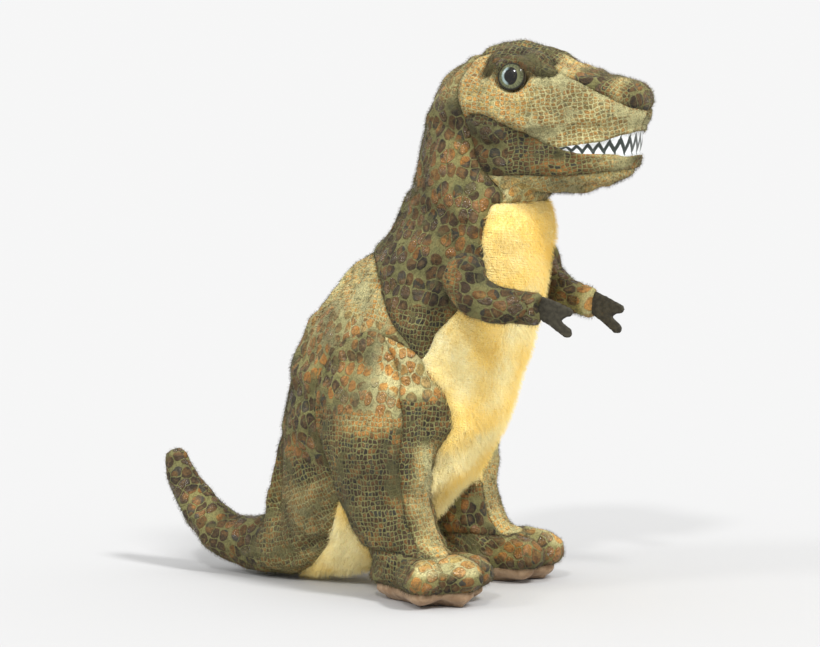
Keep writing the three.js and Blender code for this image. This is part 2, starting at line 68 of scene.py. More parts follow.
SIDES = {"right": -1, "left": 1}
rng = np.random.default_rng(7)


# ---- meshes as arrays ----
def smoothstep(low, high, x):
    t = np.clip((x - low) / (high - low), 0, 1)
    return t * t * (3 - 2 * t)


def read(items, attribute, width, kind=float):
    """An attribute of a mesh's vertices, edges, corners or triangles, with a row for each."""
    values = np.empty(len(items) * width, kind)
    items.foreach_get(attribute, values)
    return values.reshape(-1, width)


def read_points(mesh):
    return read(mesh.vertices, "co", 3)


def read_normals(mesh):
    return read(mesh.vertices, "normal", 3)


def read_edges(mesh):
    return read(mesh.edges, "vertices", 2, int)


def read_corners(mesh):
    """The point that each corner of the faces is at."""
    return read(mesh.loops, "vertex_index", 1, int)[:, 0]


def write_points(mesh, points):
    mesh.vertices.foreach_set("co", np.ascontiguousarray(points, np.float32).ravel())
    mesh.update()


def point_tree(points):
    tree = KDTree(len(points))
    for i, p in enumerate(points):
        tree.insert(p, i)
    tree.balance()
    return tree


def cad_triangles(names):
    """Points and triangles of CAD nodes together, and the node that each triangle is from."""
    points, faces, owners = [], [], []
    count = 0
    for name in names:
        mesh = NODES[name].data
        mesh.calc_loop_triangles()
        points.append(read_points(mesh))
        faces.append(read(mesh.loop_triangles, "vertices", 3, int) + count)
        owners += [name] * len(mesh.loop_triangles)
        count += len(mesh.vertices)
    return np.concatenate(points), np.concatenate(faces), owners


def new_object(name, points, faces, smooth=True):
    mesh = bpy.data.meshes.new(name)
    mesh.from_pydata([tuple(p) for p in points], [], [tuple(f) for f in faces])
    mesh.update()
    obj = bpy.data.objects.new(name, mesh)
    bpy.context.scene.collection.objects.link(obj)
    if smooth:
        mesh.shade_smooth()
    return obj


def bake_modifiers(obj):
    """Replaces an object's mesh by what its modifiers make of it."""
    depsgraph = bpy.context.evaluated_depsgraph_get()
    baked = bpy.data.meshes.new_from_object(obj.evaluated_get(depsgraph))
    obj.modifiers.clear()
    obj.data = baked
    return obj


def neighbour_mean(points, edges):
    """The mean of each point's neighbours along the edges."""
    a, b = edges[:, 0], edges[:, 1]
    count = len(points)
    degree = np.bincount(a, minlength=count) + np.bincount(b, minlength=count)
    total = np.empty_like(points)
    for axis in range(points.shape[1]):
        total[:, axis] = np.bincount(a, points[b, axis], count)
        total[:, axis] += np.bincount(b, points[a, axis], count)
    return total / np.maximum(degree, 1)[:, None]


def smooth_points(points, edges, rounds, amount=None):
    """Taubin smoothing, which rounds the facets off and keeps the volume."""
    strength = 1 if amount is None else amount[:, None]
    for _ in range(rounds):
        for step in (0.5, -0.52):
            points = points + strength * step * (neighbour_mean(points, edges) - points)
    return points


def connected_parts(pairs, count):
    """A number for each item, the same for all the items that the pairs join together."""
    part = np.arange(count)
    while True:
        low = part.copy()
        np.minimum.at(low, pairs[:, 0], part[pairs[:, 1]])
        np.minimum.at(low, pairs[:, 1], part[pairs[:, 0]])
        low = low[low]
        if np.array_equal(low, part):
            return part
        part = low


def largest_part(points, faces, edges):
    """Keeps the connected part with the most points."""
    part = connected_parts(edges, len(points))
    keep = part == np.bincount(part).argmax()
    index = np.cumsum(keep) - 1
    kept = [[index[v] for v in face] for face in faces if keep[face[0]]]
    return points[keep], kept


def hull_between(first, second, point, normal, reach):
    """The convex hull of what two groups of CAD nodes have within reach of a plane."""
    near = []
    for names in (first, second):
        points, _, _ = cad_triangles(names)
        distance = (points - point) @ normal
        near.append(points[np.abs(distance) < reach])
    shape = bmesh.new()
    for p in np.unique(np.concatenate(near).round(5), axis=0):
        shape.verts.new(p)
    result = bmesh.ops.convex_hull(shape, input=shape.verts)
    loose = [g for g in result["geom_interior"] if isinstance(g, bmesh.types.BMVert)]
    bmesh.ops.delete(shape, geom=loose, context="VERTS")
    shape.verts.ensure_lookup_table()
    shape.verts.index_update()
    points = np.array([v.co[:] for v in shape.verts])
    faces = np.array([[v.index for v in f.verts] for f in shape.faces])
    shape.free()
    return points, faces


def remeshed(name, shells, voxel):
    """One closed skin round several overlapping solids."""
    points, faces, count = [], [], 0
    for shell_points, shell_faces in shells:
        points.append(shell_points)
        faces.append(shell_faces + count)
        count += len(shell_points)
    obj = new_object(name, np.concatenate(points), np.concatenate(faces))
    remesh = obj.modifiers.new("remesh", "REMESH")
    remesh.mode = "VOXEL"
    remesh.voxel_size = voxel
    bake_modifiers(obj)
    mesh = obj.data
    faces = [list(p.vertices) for p in mesh.polygons]
    points, faces = largest_part(read_points(mesh), faces, read_edges(mesh))
    bpy.data.objects.remove(obj)
    return new_object(name, points, faces)


# ---- seams ----
def face_labels(mesh, names, groups):
    """The panel group that each face belongs to: that of the nearest CAD panel."""
    points, faces, owners = cad_triangles(names)
    tree = BVHTree.FromPolygons([tuple(p) for p in points], [tuple(f) for f in faces])
    group_of = {node: g for g, nodes in enumerate(groups) for node in nodes}
    labels = np.array([group_of[owners[tree.find_nearest(p.center)[2]]] for p in mesh.polygons])
    return even_labels(mesh, labels, len(groups), 14)


def label_votes(labels, pairs, count, voters):
    """How many of each face's neighbours have each label, of those that vote."""
    votes = np.zeros((len(labels), count))
    for a, b in ((0, 1), (1, 0)):
        chosen = pairs[voters[pairs[:, b]]]
        np.add.at(votes, (chosen[:, a], labels[chosen[:, b]]), 1)
    return votes


def even_labels(mesh, labels, count, rounds):
    """Gives each face the label that most of its neighbours have, which evens the borders, and
    each patch that is cut off from the rest of its panel to the panel round it."""
    pairs = shared_edges(mesh)[:, 2:]
    everyone, own_vote = np.ones(len(labels), bool), 1.5
    for _ in range(rounds):
        votes = label_votes(labels, pairs, count, everyone)
        votes[np.arange(len(labels)), labels] += own_vote
        labels = votes.argmax(1)
    same = pairs[labels[pairs[:, 0]] == labels[pairs[:, 1]]]
    part = connected_parts(same, len(labels))
    size = np.bincount(part, minlength=len(labels))[part]
    largest = np.zeros(count, int)
    np.maximum.at(largest, labels, size)
    stray = size < largest[labels]
    for _ in range(200):
        if not stray.any():
            break
        votes = label_votes(labels, pairs, count, ~stray)
        settled = stray & (votes.sum(1) > 0)
        labels = np.where(settled, votes.argmax(1), labels)
        stray &= ~settled
    return labels


def shared_edges(mesh):
    """Edges between two faces, as pairs of points with the two faces' numbers."""
    seen, shared = {}, []
    for polygon in mesh.polygons:
        for key in polygon.edge_keys:
            other = seen.setdefault(key, polygon.index)
            if other != polygon.index:
                shared.append((*key, other, polygon.index))
    return np.array(shared)


def seam_edges(mesh, labels):
    """Edges between two panels, as pairs of points with the two panels' labels."""
    edges = shared_edges(mesh)
    edges[:, 2:] = labels[edges[:, 2:]]
    return edges[edges[:, 2] != edges[:, 3]]


def straighten_seams(points, edges, seams, rounds=14):
    """Runs the seams smoothly over the skin instead of along the grid's steps."""
    pairs = seams[:, :2]
    on_seam = np.zeros(len(points), bool)
    on_seam[pairs] = True
    degree = np.bincount(pairs.ravel(), minlength=len(points))
    movable = (degree == 2)[:, None]
    for _ in range(rounds):
        points = np.where(movable, points + 0.5 * (neighbour_mean(points, pairs) - points), points)
        relaxed = points + 0.35 * (neighbour_mean(points, edges) - points)
        near = np.zeros(len(points), bool)
        near[edges[on_seam[edges].any(1)]] = True
        points = np.where((near & ~on_seam)[:, None], relaxed, points)
    return points


def seam_distance(points, seams):
    """How far each point is from the nearest seam."""
    ends = points[seams[:, :2]]
    tree = point_tree(np.concatenate([ends[:, 0], ends.mean(1)]))
    return np.array([tree.find(p)[2] for p in points])


def value_noise(points, cell, seed):
    """Smooth random numbers from -1 to 1, about one bump per cell."""
    grid = np.random.default_rng(seed).uniform(-1, 1, (17, 17, 17))
    at = points / cell
    base = np.floor(at).astype(int)
    t = at - base
    t = t * t * (3 - 2 * t)
    total = np.zeros(len(points))
    for corner in np.ndindex(2, 2, 2):
        weight = np.prod(np.where(corner, t, 1 - t), axis=1)
        i, j, k = ((base + corner) % 17).T
        total += weight * grid[i, j, k]
    return total


def bump_round(distance, width):
    return np.exp(-((distance / width) ** 2))


def soft_detail(points, distance, soft=1.0):
    """Millimetres out or in for a sewn skin: sunken seams, puckers beside them, and dents."""
    crease = bump_round(distance, 1.5 * MM) + 0.9 * bump_round(distance, 5 * MM)
    pucker = value_noise(points, 4.2 * MM, 1) * bump_round(distance, 7 * MM) * 0.45
    dents = value_noise(points, 17 * MM, 2) * 0.8 + value_noise(points, 8 * MM, 3) * 0.35
    return crease, pucker + dents * soft


# ---- cloth ----
def puffed(obj, held, push=2.6 * MM, sink=0.9 * MM):
    """Blows the cloth out between the seams, where it is held, and limits how far it moves."""
    before = read_points(obj.data)
    group = obj.vertex_groups.new(name="seams")
    group.add([int(i) for i in np.flatnonzero(held)], 1.0, "REPLACE")
    cloth = obj.modifiers.new("cloth", "CLOTH")
    cloth.settings.vertex_group_mass = "seams"
    cloth.settings.use_pressure = True
    cloth.settings.uniform_pressure_force = 4
    cloth.settings.effector_weights.gravity = 0
    cloth.settings.quality = 5
    cloth.settings.mass = 0.2
    cloth.settings.tension_stiffness = 12
    cloth.settings.compression_stiffness = 12
    cloth.settings.shear_stiffness = 5
    cloth.settings.bending_stiffness = 0.3
    cloth.settings.shrink_min = -0.06
    cloth.collision_settings.use_collision = False
    scene = bpy.context.scene
    cloth.point_cache.frame_start = 1
    cloth.point_cache.frame_end = 20
    for number in range(1, 21):
        scene.frame_set(number)
    bake_modifiers(obj)
    scene.frame_set(1)
    obj.vertex_groups.clear()
    move = read_points(obj.data) - before
    write_points(obj.data, before)
    normals = read_normals(obj.data)
    outwards = (move * normals).sum(1)
    sideways = move - outwards[:, None] * normals
    length = np.linalg.norm(sideways, axis=1)
    sideways *= (np.minimum(length, MM) / np.maximum(length, 1e-9))[:, None]
    kept = np.clip(outwards, -sink, push)
    write_points(obj.data, before + kept[:, None] * normals + 0.6 * sideways)


def subdivided(obj):
    modifier = obj.modifiers.new("subdivide", "SUBSURF")
    modifier.levels = 1
    modifier.render_levels = 1
    return bake_modifiers(obj)


# ---- the body's skin ----
def members(body, *words):
    return [node for node in BODIES[body] if any(word in node for word in words)]


SKIN_WORDS = ("_panel", "foot_top", "foot_sole", "_strip", "brow_patch")
FILL_WORDS = ("stuffing", "bean_bag")
NECK = JOINTS["head_nod"]
TAIL_ROOT = JOINTS["tail_bend"]
TAIL_SLOPE = math.radians(12)
EYE_YAW = math.radians(12)
EYE_ROLL = math.radians(12)


def body_shells():
    """The solids of the torso, head and tail, with hulls over the neck and the tail's root."""
    torso, head, tail = (
        members(name, *SKIN_WORDS, *FILL_WORDS) for name in ("torso", "head", "tail")
    )
    up = np.array([0, 0, 1])
    along_tail = np.array([math.cos(TAIL_SLOPE), 0, -math.sin(TAIL_SLOPE)])
    return [
        *(cad_triangles(names)[:2] for names in (torso, head, tail)),
        hull_between(torso, head, NECK, up, 4.8 * MM),
        hull_between(torso, tail, TAIL_ROOT, along_tail, 2.6 * MM),
    ]


def panel_groups():
    """Each visible piece of cloth, with the CAD panels that it stands for."""
    groups = {}
    for side in SIDES:
        groups[f"shoulder_{side}"] = [f"chest_panel_{side}", f"neck_panel_{side}"]
        groups[f"back_and_tail_{side}"] = [f"back_panel_{side}", f"tail_panel_{side}"]
        leg = ("leg_outer_panel", "leg_front_strip", "leg_inner_panel", "foot_top", "foot_sole")
        for part in (*leg, "brow_patch", "cheek_panel", "face_panel"):
            groups[f"{part}_{side}_cloth"] = [f"{part}_{side}"]
    for part in ("belly_panel", "rump_panel", "crown_panel", "chin_panel", "teeth_strip"):
        groups[f"{part}_cloth"] = [part]
    return groups


PANELS = panel_groups()
panel_names = list(PANELS)
panel_nodes = [node for nodes in PANELS.values() for node in nodes]


def label_of(panel):
    return panel_names.index(panel)


def rounded_body(points, edges):
    """Rounds the solids off, but less at the toes and snout, and more round the soles."""
    x, _, z = points.T
    toes = smoothstep(34 * MM, 24 * MM, z) * smoothstep(8 * MM, 14 * MM, x)
    toes *= smoothstep(5 * MM, 13 * MM, z)
    snout = smoothstep(75 * MM, 92 * MM, x) * smoothstep(215 * MM, 225 * MM, z)
    points = smooth_points(points, edges, 5)
    points = smooth_points(points, edges, 26, 1 - 0.85 * np.maximum(toes, snout))
    x, _, z = points.T
    sole = smoothstep(13 * MM, 8 * MM, z) * smoothstep(4 * MM, 14 * MM, x)
    for _ in range(24):
        sideways = (neighbour_mean(points, edges) - points) * (1, 1, 0)
        points = points + 0.5 * sole[:, None] * sideways
    return points


def puffed_body():
    """The body's skin, blown out between the seams, the ground and the hard end of the snout."""
    skin = remeshed("body_skin", body_shells(), 3.0 * MM)
    points = rounded_body(read_points(skin.data), read_edges(skin.data))
    write_points(skin.data, points)
    labels = face_labels(skin.data, panel_nodes, list(PANELS.values()))
    held = seam_distance(points, seam_edges(skin.data, labels)) < 2.2 * MM
    held |= (points[:, 2] < 3 * MM) | (points[:, 0] > 127 * MM)
    puffed(skin, held)
    return subdivided(skin)


def eye_pose(side):
    """Where an eye is, which way it looks, and its upright direction."""
    low, high = (Vector(corner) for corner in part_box(f"eye_lens_{side}"))
    across = SIDES[side] * math.cos(EYE_YAW) * math.cos(EYE_ROLL)
    facing = Vector((math.sin(EYE_YAW), across, math.sin(EYE_ROLL))).normalized()
    upright = (Vector((0, 0, 1)) - facing * facing.z).normalized()
    return (low + high) / 2, facing, upright


def round_the_eye(points, side):
    """Each point's place from the eye, its height over it, how far it is in front, and how
    far from the line of sight."""
    eye, facing, upright = (np.array(v) for v in eye_pose(side))
    rest = points - eye
    ahead = rest @ facing
    return rest, rest @ upright, ahead, np.linalg.norm(rest - ahead[:, None] * facing, axis=1)


def body_labels(mesh):
    """The piece that each face of the body is in. The brows reach down to the eyes, and the
    inner leg stops where the rump and the belly begin."""
    labels = face_labels(mesh, panel_nodes, list(PANELS.values()))
    middles = np.array([p.center for p in mesh.polygons])
    for side in SIDES:
        rest, height, in_front, reach = round_the_eye(middles, side)
        x = rest[:, 0]
        over = (height > 3.2 * MM + 0.10 * np.abs(x)) & (reach < 15 * MM)
        over |= (height > 1.5 * MM) & (height < 9 * MM) & (x > 9 * MM) & (x < 22 * MM)
        over &= (in_front > -14 * MM) & (x > -13 * MM)
        on_face = labels == label_of(f"face_panel_{side}_cloth")
        labels = np.where(over & on_face, label_of(f"brow_patch_{side}_cloth"), labels)
        on_leg = labels == label_of(f"leg_inner_panel_{side}_cloth")
        behind, above = middles[:, 0] < 8 * MM, middles[:, 2] > 55 * MM
        labels = np.where(on_leg & behind, label_of("rump_panel_cloth"), labels)
        labels = np.where(on_leg & above, label_of("belly_panel_cloth"), labels)
    return even_labels(mesh, labels, len(panel_names), 6)


body = puffed_body()
labels = body_labels(body.data)
seams = seam_edges(body.data, labels)
points = straighten_seams(read_points(body.data), read_edges(body.data), seams)
write_points(body.data, points)


def seams_of(panel):
    mine = (seams[:, 2:] == label_of(panel)).any(1)
    return seams[mine]


def on_panel(panel):
    """Which of the body's points a piece has."""
    chosen = np.zeros(len(body.data.vertices), bool)
    for polygon in body.data.polygons:
        if labels[polygon.index] == label_of(panel):
            chosen[list(polygon.vertices)] = True
    return chosen


def creased_seams(points):
    """All the seams but the tops of the legs, where the print hides them."""
    hip = np.zeros(len(seams), bool)
    for side in SIDES:
        pair = [label_of(f"leg_outer_panel_{side}_cloth"), label_of(f"back_and_tail_{side}")]
        hip |= np.isin(seams[:, 2:], pair).all(1)
    hip &= points[seams[:, 0], 2] > 84 * MM
    return seams[~hip]


def lid_shape(points, side):
    """How far the skin rises over an eye and sinks round it, and how it droops."""
    rest, height, _, reach = round_the_eye(points, side)
    near = smoothstep(18 * MM, 12 * MM, np.linalg.norm(rest, axis=1))
    lid = smoothstep(1.5 * MM, 5 * MM, height) * smoothstep(2 * MM, 5 * MM, reach)
    lid *= near * smoothstep(14 * MM, 9 * MM, reach)
    socket = (1 - lid) * smoothstep(12 * MM, 7 * MM, reach)
    droop = 3.2 * MM * lid * smoothstep(12 * MM, 8 * MM, reach)
    upright = np.array(eye_pose(side)[2])
    return (5.0 * MM * lid - 0.7 * MM * socket) * near, -upright * droop[:, None]


def shaped_skin(points):
    """Sinks the seams, rolls the lips, sets the brows proud and dents the cloth a little."""
    normals = read_normals(body.data)
    mouth = seam_distance(points, seams_of("teeth_strip_cloth"))
    lips = bump_round(mouth, 2.6 * MM)
    soft = 1 - 0.6 * smoothstep(8 * MM, 3 * MM, points[:, 2])
    crease, relief = soft_detail(points, seam_distance(points, creased_seams(points)), soft)
    move = (relief - crease * (1 - lips) + 1.0 * lips) * MM
    behind_lips = -1.3 * MM * smoothstep(0, 1.2 * MM, mouth) + 0.2 * MM
    move = np.where(on_panel("teeth_strip_cloth"), behind_lips, move)
    droop = np.zeros_like(points)
    for side in SIDES:
        brow = f"brow_patch_{side}_cloth"
        inwards = smoothstep(0, 3 * MM, seam_distance(points, seams_of(brow)))
        move += np.where(on_panel(brow), 0.5 * MM * inwards, 0)
        rise, fall = lid_shape(points, side)
        move += rise
        droop += fall
    points = points + normals * move[:, None] + droop
    points[:, 2] = np.where(points[:, 2] < 1.1 * MM, 0, points[:, 2])
    return points


write_points(body.data, shaped_skin(points))


def cut_piece(source, labels, label, name):
    """One panel of a skin, as an object of its own."""
    chosen = [p.vertices[:] for p in source.data.polygons if labels[p.index] == label]
    used = sorted({v for face in chosen for v in face})
    index = {v: i for i, v in enumerate(used)}
    points = read_points(source.data)[used]
    return new_object(name, points, [[index[v] for v in face] for face in chosen])


def flat_map(obj, guide):
    """Lays the piece flat as its UV map, in metres, with guide (a point to number) running up."""
    bpy.ops.object.select_all(action="DESELECT")
    bpy.context.view_layer.objects.active = obj
    obj.select_set(True)
    bpy.ops.object.mode_set(mode="EDIT")
    bpy.ops.mesh.select_all(action="SELECT")
    bpy.ops.uv.unwrap(method="MINIMUM_STRETCH", iterations=30, margin=0)
    bpy.ops.object.mode_set(mode="OBJECT")
    mesh = obj.data
    uv = read(mesh.uv_layers[0].data, "uv", 2)
    at = read_points(mesh)[read_corners(mesh)]
    starts = np.array([p.loop_start for p in mesh.polygons])
    u, p = uv[starts], at[starts]
    u1, p1 = uv[starts + 1] - u, at[starts + 1] - p
    u2, p2 = uv[starts + 2] - u, at[starts + 2] - p
    flat = np.abs(u1[:, 0] * u2[:, 1] - u1[:, 1] * u2[:, 0])
    real = np.linalg.norm(np.cross(p1, p2), axis=1)
    uv = uv * math.sqrt(real.sum() / max(flat.sum(), 1e-12))
    height = guide(at)
    design = np.column_stack([uv, np.ones(len(uv))])
    slope = np.linalg.lstsq(design, height, rcond=None)[0][:2]
    slope /= max(np.linalg.norm(slope), 1e-9)
    turn = np.array([[slope[1], -slope[0]], [slope[0], slope[1]]])
    uv = (uv - uv.mean(0)) @ turn.T + rng.uniform(0.2, 0.8, 2)
    mesh.uv_layers[0].data.foreach_set("uv", uv.ravel())
    mesh.uv_layers[0].name = "Flat"


def thicken(obj, thickness=1.3 * MM):
    solidify = obj.modifiers.new("cloth thickness", "SOLIDIFY")
    solidify.thickness = thickness
    solidify.offset = -1


PRINT_PILE = {"length": 0.9 * MM, "per_mm2": 1.5, "lean": 1.3, "fall": 0.3, "radius": 0.09 * MM}
ARM_PILE = {**PRINT_PILE, "length": 1.0 * MM, "per_mm2": 1.3}
BROW_PILE = {"length": 3.2 * MM, "per_mm2": 3.6, "lean": 0.8, "fall": 1.8, "radius": 0.09 * MM}
YELLOW_PILE = {"length": 1.8 * MM, "per_mm2": 1.5, "lean": 0.9, "fall": 0.6, "radius": 0.17 * MM}


def grow_pile(obj, length, per_mm2, lean, fall, radius, seed=1):
    """Short plush pile. Lean is how unevenly the hairs lie, and fall is how much they hang."""
    area = sum(p.area for p in obj.data.polygons) / MM**2
    modifier = obj.modifiers.new("pile", "PARTICLE_SYSTEM")
    modifier.particle_system.seed = seed
    pile = modifier.particle_system.settings
    pile.type = "HAIR"
    pile.count = int(area * per_mm2)
    pile.emit_from = "FACE"
    pile.distribution = "RAND"
    pile.use_advanced_hair = True
    pile.hair_length = length
    pile.hair_step = 2
    pile.render_step = 2
    pile.display_step = 2
    speed = length * 0.25
    pile.normal_factor = speed
    pile.factor_random = speed * lean
    pile.tangent_factor = speed * lean * 0.5
    pile.object_align_factor = (0, 0, -speed * fall)
    pile.use_rotations = False
    pile.root_radius = 1.0
    pile.tip_radius = 0.25
    pile.radius_scale = radius


# ---- materials ----
class Graph:
    """A material's nodes. Inputs given as sockets are linked, and others are set."""

    def __init__(self, name):
        self.material = bpy.data.materials.new(name)
        self.material.use_nodes = True
        self.tree = self.material.node_tree
        self.tree.nodes.clear()

    def node(self, kind, inputs=None, **settings):
        made = self.tree.nodes.new("ShaderNode" + kind)
        for key, value in settings.items():
            setattr(made, key, value)
        for key, value in (inputs or {}).items():
            if isinstance(value, bpy.types.NodeSocket):
                self.tree.links.new(value, made.inputs[key])
            else:
                made.inputs[key].default_value = value
        return made

    def math(self, operation, a, b=0.0, c=0.0):
        return self.node("Math", {0: a, 1: b, 2: c}, operation=operation).outputs[0]

    def vector(self, operation, a, b):
        """The sum, difference or product of two vectors, or a vector times a number."""
        second = "Scale" if operation == "SCALE" else 1
        return self.node("VectorMath", {0: a, second: b}, operation=operation).outputs[0]

    def length(self, a):
        return self.node("VectorMath", {0: a}, operation="LENGTH").outputs["Value"]

    def scaled(self, x, factor, plus):
        return self.math("MULTIPLY_ADD", x, factor, plus)

    def times(self, *factors):
        """The product of two or more numbers."""
        product = factors[0]
        for factor in factors[1:]:
            product = self.math("MULTIPLY", product, factor)
        return product

    def step(self, low, high, x):
        made = self.node(
            "MapRange",
            {"Value": x, "From Min": low, "From Max": high},
            interpolation_type="SMOOTHSTEP",
        )
        return made.outputs["Result"]

    def mix(self, factor, a, b, blend="MIX"):
        """A mix of two colours, each of them a socket or three numbers."""
        a, b = ((*colour, 1) if isinstance(colour, tuple) else colour for colour in (a, b))
        made = self.node("Mix", {0: factor, 6: a, 7: b}, data_type="RGBA", blend_type=blend)
        return made.outputs[2]

    def steps(self, x, stops):
        """One flat colour for each stop."""
        made = self.node("ValToRGB", {"Fac": x})
        ramp = made.color_ramp
        ramp.interpolation = "CONSTANT"
        while len(ramp.elements) < len(stops):
            ramp.elements.new(0.5)
        for element, (at, color) in zip(ramp.elements, stops):
            element.position = at
            element.color = (*color, 1)
        return made.outputs["Color"]

    def noise(self, vector, scale, detail=2.0, dimensions="2D", output="Fac"):
        inputs = {"Vector": vector, "Scale": scale, "Detail": detail}
        return self.node("TexNoise", inputs, noise_dimensions=dimensions).outputs[output]

    def cells(self, vector, scale, randomness, feature="F1"):
        return self.node(
            "TexVoronoi",
            {"Vector": vector, "Scale": scale, "Randomness": randomness},
            voronoi_dimensions="2D",
            feature=feature,
        )

    def principled(self, inputs):
        """Ends the material with a principled shader."""
        shader = self.node("BsdfPrincipled", inputs)
        self.node("OutputMaterial", {"Surface": shader.outputs[0]})
        return self.material


# Scale colours from dark to light, each with the random number that it starts at.
DARK_SCALES = [
    (0.0, (0.018, 0.011, 0.005)),
    (0.20, (0.052, 0.028, 0.010)),
    (0.42, (0.120, 0.060, 0.016)),
    (0.58, (0.038, 0.036, 0.024)),
    (0.74, (0.190, 0.082, 0.016)),
    (0.90, (0.250, 0.140, 0.036)),
]
PALE_SCALES = [
    (0.0, (0.440, 0.320, 0.100)),
    (0.26, (0.540, 0.400, 0.140)),
    (0.48, (0.560, 0.310, 0.075)),
    (0.66, (0.360, 0.310, 0.125)),
    (0.80, (0.640, 0.470, 0.180)),
    (0.93, (0.210, 0.120, 0.040)),
]
LARGE_SCALE = 6.6  # mm across
SMALL_SCALE = 2.5


def printed_at(g, flat):
    """The flat map, pushed about so that rows of scales wander."""
    wander = g.noise(flat, 110.0, 2.0, output="Color")
    shift = g.vector("SCALE", g.vector("SUBTRACT", wander, (0.5, 0.5, 0.5)), 0.0036)
    return g.vector("MULTIPLY", g.vector("ADD", flat, shift), (1.15, 0.88, 1.0))


def scale_pattern(g, at, uneven, shrink, size, randomness, line, reach):
    """Rounded cells in a net: two random numbers for each, where the net is, and the distance
    from the cell's middle."""
    scale = 1000.0 / size
    cell = g.cells(at, scale, randomness)
    edge = g.cells(at, scale, randomness, "DISTANCE_TO_EDGE").outputs["Distance"]
    seed = g.node("SeparateColor", {"Color": cell.outputs["Color"]})
    middle = cell.outputs["Distance"]
    net = g.step(line * 1.35, line * 0.65, g.math("ADD", edge, uneven))
    corner = g.step(reach, reach + 0.09, g.math("ADD", middle, shrink))
    return seed.outputs[0], seed.outputs[1], g.math("MAXIMUM", net, corner), middle


def scale_plush():
    """Plush printed with scales. The vertex colour's red says where the scales are large, its
    green how pale the cloth is (0.3 is the darkest print, and less is shaded), its blue how
    orange, and its alpha how full and how light the print is against its ground."""
    g = Graph("Scale plush")
    flat = g.node("UVMap", uv_map="Flat").outputs["UV"]
    painted = g.node("Attribute", attribute_name="Zone")
    full = painted.outputs["Alpha"]
    zone = g.node("SeparateColor", {"Color": painted.outputs["Color"]})
    at = printed_at(g, flat)

    # Large scales in some places and small ones in others.
    uneven = g.scaled(g.noise(flat, 900.0, 2.0), 0.08, -0.04)
    shrink = g.scaled(full, -0.20, 0.20)
    large = scale_pattern(g, at, uneven, shrink, LARGE_SCALE, 0.78, 0.05, 0.47)
    small = scale_pattern(g, at, uneven, shrink, SMALL_SCALE, 0.38, 0.12, 0.52)
    patchy = g.noise(flat, 42.0, 3.0)
    where = g.math("ADD", zone.outputs[0], g.scaled(patchy, 0.8, -0.4))
    is_large = g.step(0.47, 0.53, where)
    seed, gloss, net, middle = (
        g.node("Mix", {0: is_large, 2: b, 3: a}, data_type="FLOAT").outputs[0]
        for a, b in zip(large, small)
    )

    # The colours of the scales.
    regional = g.noise(flat, 75.0, 2.0)
    local = g.scaled(regional, 0.9, -0.26)
    seed = g.math("ADD", g.math("MULTIPLY", seed, 0.62), local)
    cloudy = g.noise(flat, 27.0, 4.0)
    light = g.scaled(zone.outputs[1], 1.5, -0.5)
    pale_at = g.math("ADD", light, g.scaled(cloudy, 0.7, -0.35))
    pale = g.step(0.25, 0.78, pale_at)
    scale_pale = g.times(pale, g.scaled(full, 1.1, -0.1))
    colour = g.mix(scale_pale, g.steps(seed, DARK_SCALES), g.steps(seed, PALE_SCALES))
    orange_at = g.math("ADD", zone.outputs[2], g.scaled(regional, 1.0, -0.5))
    orange = g.times(g.step(0.40, 0.70, orange_at), g.step(0.25, 0.45, gloss), 0.72)
    colour = g.mix(orange, colour, (0.47, 0.20, 0.035))
    centre = g.times(g.step(0.42, 0.05, middle), g.step(0.3, 0.8, small[1]), 0.30)
    colour = g.mix(centre, colour, (0.40, 0.24, 0.085))
    stain = g.step(0.50, 0.72, g.noise(flat, 520.0, 4.0))
    colour = g.mix(g.times(stain, 0.42), colour, (0.035, 0.026, 0.013))

    # The net between them, the ground where the print has worn away, and fine cracks.
    dark_line = g.mix(is_large, (0.245, 0.235, 0.085), (0.215, 0.205, 0.070))
    line_colour = g.mix(pale, dark_line, (0.44, 0.41, 0.20))
    colour = g.mix(g.times(net, 0.88), colour, line_colour)
    bare = g.noise(flat, 60.0, 3.0)
    bare = g.math("ADD", bare, g.scaled(full, -0.16, 0.16))
    ground = g.mix(pale, (0.115, 0.105, 0.034), (0.44, 0.41, 0.20))
    colour = g.mix(g.times(g.step(0.60, 0.68, bare), 0.8), colour, ground)
    crack = g.cells(at, 1000.0 / 1.15, 1.0, "DISTANCE_TO_EDGE").outputs["Distance"]
    colour = g.mix(g.times(g.step(0.10, 0.02, crack), 0.32), colour, (0.050, 0.040, 0.018))

    # Light and dark in the pile.
    pile = g.noise(flat, 1500.0, 2.0)
    broad = g.scaled(g.noise(flat, 33.0, 3.0), 1.3, 0.30)
    dimmed = g.node("MapRange", {"Value": light, "From Min": -0.4, "From Max": 0.6, "To Min": 0.52})
    pile_shade = g.scaled(pile, 1.0, 0.72)
    shade = g.times(pile_shade, broad, dimmed.outputs["Result"])
    shade = g.node("CombineColor", {0: shade, 1: shade, 2: shade}).outputs[0]
    colour = g.mix(1.0, colour, shade, "MULTIPLY")

    # Foil on some of the large scales, and a crumpled surface.
    worn = g.step(0.44, 0.56, g.noise(flat, 55.0, 2.0))
    foil = g.times(g.step(0.36, 0.44, gloss), g.math("SUBTRACT", 1.0, net), worn, is_large)
    colour = g.mix(g.times(foil, 0.22), colour, (0.17, 0.105, 0.045))
    crumple = g.noise(flat, 430.0, 3.0)
    crumple = g.times(crumple, g.scaled(foil, 1.6, 1.0))
    height = g.math("SUBTRACT", g.times(pile, 0.4), g.times(net, 0.5))
    height = g.math("ADD", height, crumple)
    bump = g.node("Bump", {"Height": height, "Strength": 0.85, "Distance": 0.0008})
    return g.principled(
        {
            "Base Color": colour,
            "Roughness": g.scaled(foil, -0.70, 0.84),
            "Sheen Weight": 0.02,
            "Sheen Roughness": 0.5,
            "Specular IOR Level": 0.5,
            "Normal": bump.outputs["Normal"],
        }
    )


